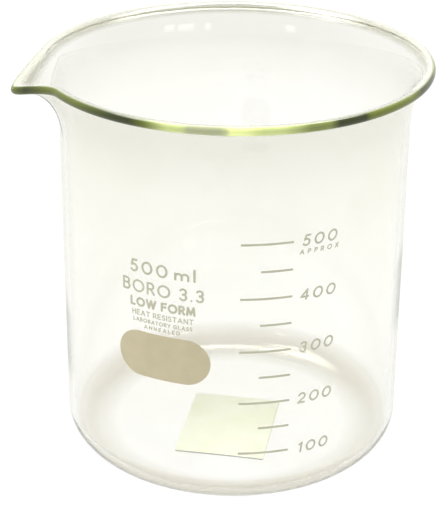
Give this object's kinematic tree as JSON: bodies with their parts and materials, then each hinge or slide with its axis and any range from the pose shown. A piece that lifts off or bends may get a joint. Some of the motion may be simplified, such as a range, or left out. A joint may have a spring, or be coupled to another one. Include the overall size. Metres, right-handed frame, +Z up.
{
  "type": "laboratory beaker",
  "caption": "Low-form glass laboratory beaker with a flared lip, a pouring spout, a printed volume scale and a write-on patch.",
  "frame": {"origin": "on the vessel's axis, at the plane that it stands on", "axes": "+Z up along the vessel's axis out of its mouth, the spout points along -X, and the printed scale faces -Y"},
  "size_m": [0.1138, 0.1066, 0.1117],
  "materials": {
    "glass": "clear, fire-polished",
    "enamel": "fired enamel, satin, grey-beige",
    "label": "pale yellow paper"
  },
  "bodies": {
    "root": {"glass_vessel": "glass", "writing_patch": "enamel", "base_label": "label", "graduation_line_100": "enamel", "graduation_line_150": "enamel", "graduation_line_200": "enamel", "graduation_line_250": "enamel", "graduation_line_300": "enamel", "graduation_line_350": "enamel", "graduation_line_400": "enamel", "graduation_line_450": "enamel", "graduation_line_500": "enamel", "numeral_100": "enamel", "numeral_200": "enamel", "numeral_300": "enamel", "numeral_400": "enamel", "numeral_500": "enamel", "approx_legend": "enamel", "capacity_legend": "enamel", "glass_type_legend": "enamel", "form_legend": "enamel", "heat_legend": "enamel", "use_legend": "enamel", "finish_legend": "enamel"}
  },
  "joints": []
}
